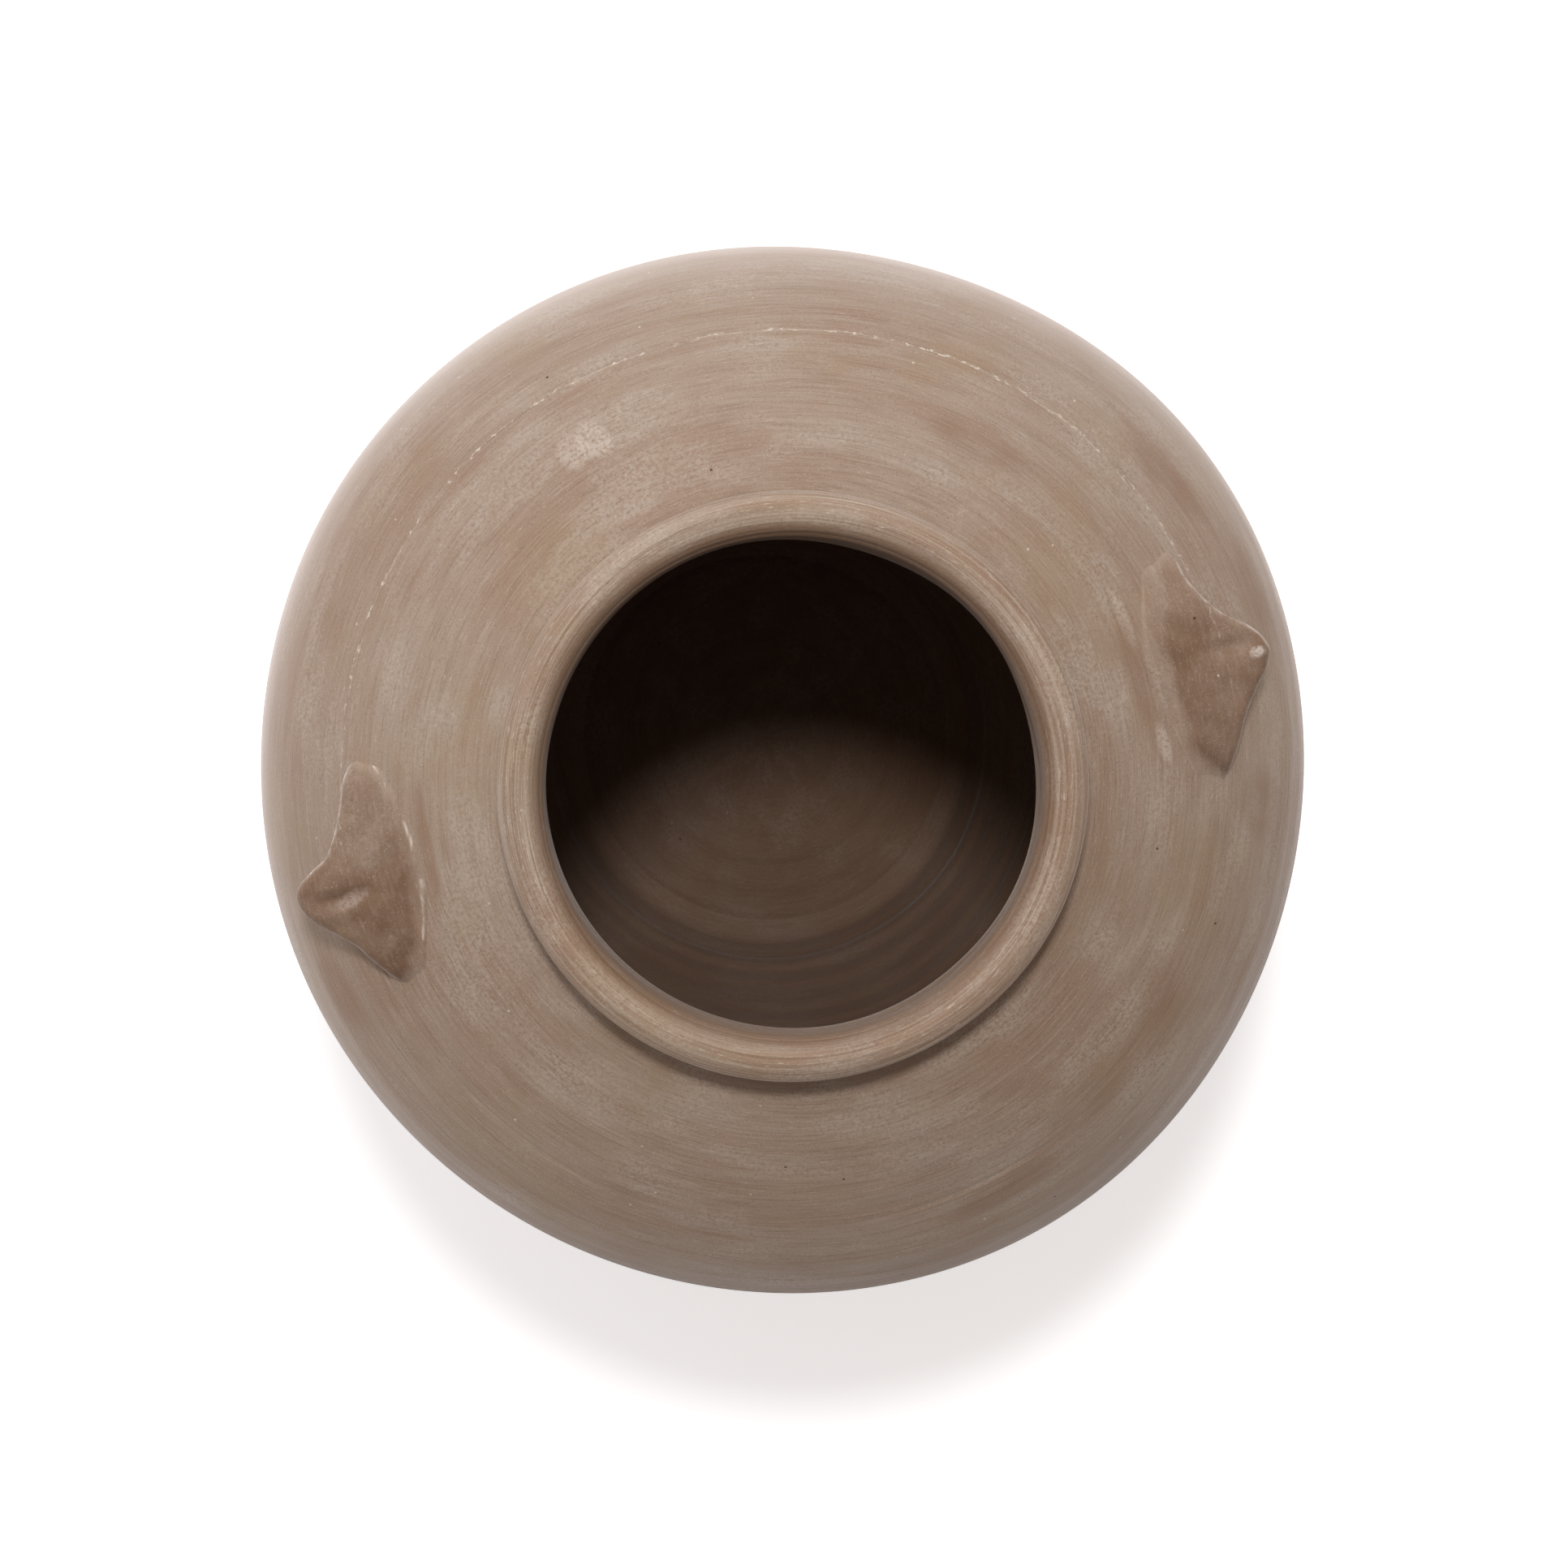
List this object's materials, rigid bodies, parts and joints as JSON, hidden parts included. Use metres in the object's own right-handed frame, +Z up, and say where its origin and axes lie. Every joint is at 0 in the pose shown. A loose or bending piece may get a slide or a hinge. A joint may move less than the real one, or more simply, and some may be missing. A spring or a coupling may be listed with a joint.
{
  "type": "amphora",
  "caption": "Broad-shouldered round storage jar of unglazed clay, with a short wide neck, a rolled rim and pinched pointed ears on opposite sides of the shoulder.",
  "frame": {"origin": "centre of the resting face, at table height", "axes": "+Z up along the wheel's axis, +X towards the ear_right node, -X towards the ear_left node, -Y is the front"},
  "size_m": [0.384, 0.384, 0.4101],
  "materials": {
    "foot_clay": "matt unglazed fired clay",
    "wall_clay": "matt unglazed fired clay",
    "neck_clay": "matt unglazed fired clay",
    "ear_clay": "matt unglazed fired clay, hand pinched"
  },
  "bodies": {
    "root": {"base_disc": "foot_clay", "lower_wall": "wall_clay", "belly_wall": "wall_clay", "shoulder_wall": "wall_clay", "neck_collar": "neck_clay", "rim_coil": "neck_clay", "ear_right": "ear_clay", "ear_left": "ear_clay"}
  },
  "joints": []
}
